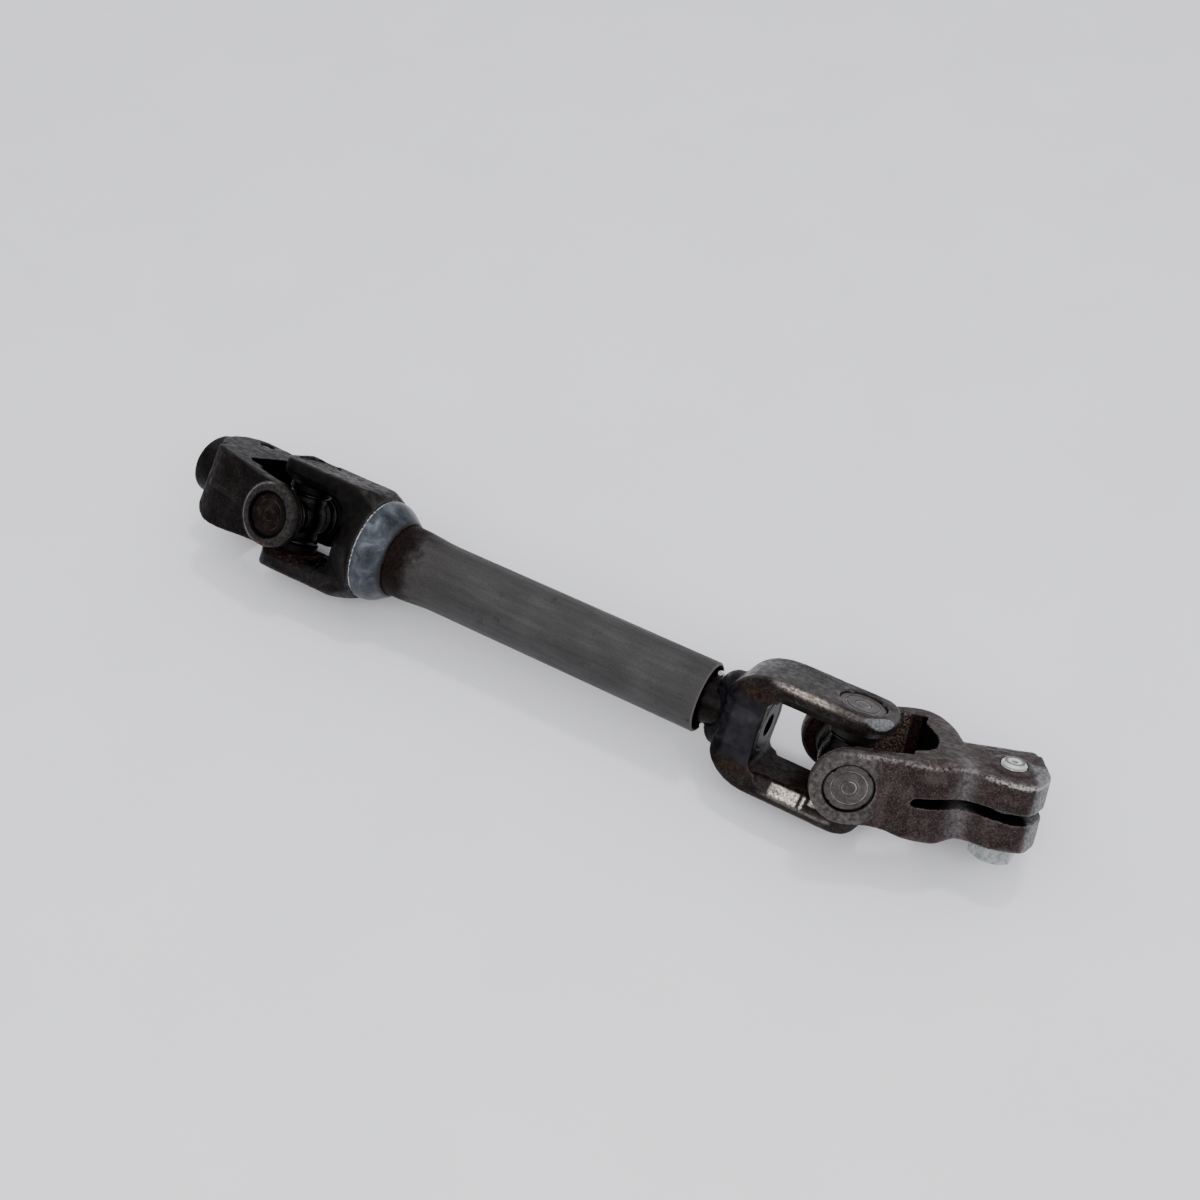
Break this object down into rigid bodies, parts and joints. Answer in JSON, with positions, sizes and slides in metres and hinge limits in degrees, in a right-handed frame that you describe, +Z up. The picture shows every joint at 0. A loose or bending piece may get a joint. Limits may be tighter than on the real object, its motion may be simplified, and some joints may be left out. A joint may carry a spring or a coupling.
{
  "type": "steering intermediate shaft with universal joints",
  "caption": "Telescoping steering shaft with a cardan joint and a slotted clamp yoke at each end.",
  "frame": {"origin": "middle of the bottom of the bounding box, on the floor it lies on", "axes": "+X along the shaft from the column end to the pinion end, +Z up, +Y away from the viewer of the picture"},
  "size_m": [0.3284, 0.0574, 0.0481],
  "materials": {
    "tube_steel": "satin, dark grey phosphate coat",
    "tube_yoke_forging": "oily black forging scale",
    "weld_bead": "heat tinted blue-grey",
    "shaft_steel": "brown oil film",
    "spline_resin": "matt",
    "ring_steel": "bright",
    "shaft_yoke_forging": "worn grey-brown forging",
    "pinion_yoke_forging": "mottled red-brown and grey forging",
    "column_yoke_forging": "dark brown-grey forging",
    "cup_steel": "dull, turned rings",
    "needle_steel": "ground and greased",
    "cross_steel": "black grease on ground steel",
    "seal_rubber": "matt",
    "bolt_zinc": "zinc, slightly green",
    "washer_steel": "dull"
  },
  "bodies": {
    "outer_shaft": {"outer_tube": "tube_steel", "tube_yoke": "tube_yoke_forging", "tube_weld": "weld_bead", "tube_yoke_cup_upper": "cup_steel", "tube_yoke_cup_lower": "cup_steel", "tube_yoke_needles": "needle_steel"},
    "inner_shaft": {"inner_shaft": "shaft_steel", "spline_coating": "spline_resin", "stop_ring": "ring_steel", "shaft_yoke": "shaft_yoke_forging", "shaft_yoke_cup_upper": "cup_steel", "shaft_yoke_cup_lower": "cup_steel", "shaft_yoke_needles": "needle_steel"},
    "pinion_cross": {"pinion_cross": "cross_steel", "pinion_cross_seals": "seal_rubber"},
    "pinion_yoke": {"pinion_yoke": "pinion_yoke_forging", "pinion_yoke_cup_near": "cup_steel", "pinion_yoke_cup_far": "cup_steel", "pinion_yoke_needles": "needle_steel", "pinion_pinch_bolt": "bolt_zinc", "pinion_bolt_washer": "washer_steel"},
    "column_cross": {"column_cross": "cross_steel", "column_cross_seals": "seal_rubber"},
    "column_yoke": {"column_yoke": "column_yoke_forging", "column_yoke_cup_near": "cup_steel", "column_yoke_cup_far": "cup_steel", "column_yoke_needles": "needle_steel", "column_pinch_bolt": "bolt_zinc", "column_bolt_washer": "washer_steel"}
  },
  "joints": [
    {"name": "telescope", "type": "slide", "parent": "outer_shaft", "child": "inner_shaft", "axis": [1, 0, 0], "range_m": [-0.0015, 0.04]},
    {"name": "pinion_cross_swing", "type": "hinge", "parent": "inner_shaft", "child": "pinion_cross", "pos_m": [0.10115, -0.00468, 0.02483], "axis": [0, 0.5225, 0.8526], "range_deg": [-46.9, 3.1]},
    {"name": "pinion_yoke_swing", "type": "hinge", "parent": "pinion_cross", "child": "pinion_yoke", "pos_m": [0.10115, -0.00468, 0.02483], "axis": [0.373, -0.7911, 0.4848], "range_deg": [-32.3, 17.7]},
    {"name": "column_cross_swing", "type": "hinge", "parent": "outer_shaft", "child": "column_cross", "pos_m": [-0.11595, -0.00468, 0.02483], "axis": [0, 0.6561, 0.7547], "range_deg": [-19.5, 30.5]},
    {"name": "column_yoke_swing", "type": "hinge", "parent": "column_cross", "child": "column_yoke", "pos_m": [-0.11595, -0.00468, 0.02483], "axis": [-0.0958, -0.7512, 0.653], "range_deg": [-20.5, 29.5]}
  ]
}
